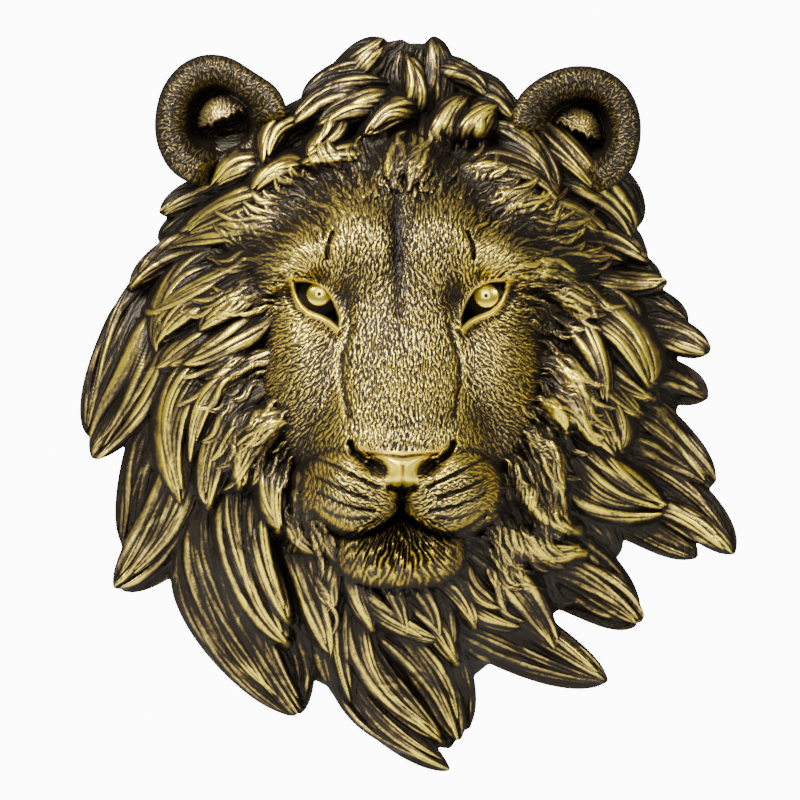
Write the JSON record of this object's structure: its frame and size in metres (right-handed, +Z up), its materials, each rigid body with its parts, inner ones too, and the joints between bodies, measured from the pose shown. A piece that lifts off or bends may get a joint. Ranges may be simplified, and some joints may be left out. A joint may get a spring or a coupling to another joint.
{
  "type": "lion head wall mask",
  "caption": "Relief wall mask of a male lion's head: front-facing face, round ears and a flowing mane of pointed locks, flat back with a keyhole for hanging.",
  "frame": {"origin": "on the flat back that rests on the wall, behind the bridge of the nose, at the middle of the outline's height and width as pictured", "axes": "+Z up, +Y into the wall so the face looks along -Y, +X to the right of a person who looks at the face"},
  "size_m": [0.3249, 0.1449, 0.3621],
  "materials": {
    "antique_gold_resin": "black cast resin with brass-gold wax rubbed over the high parts, satin"
  },
  "bodies": {
    "root": {"lion_head": "antique_gold_resin"}
  },
  "joints": []
}
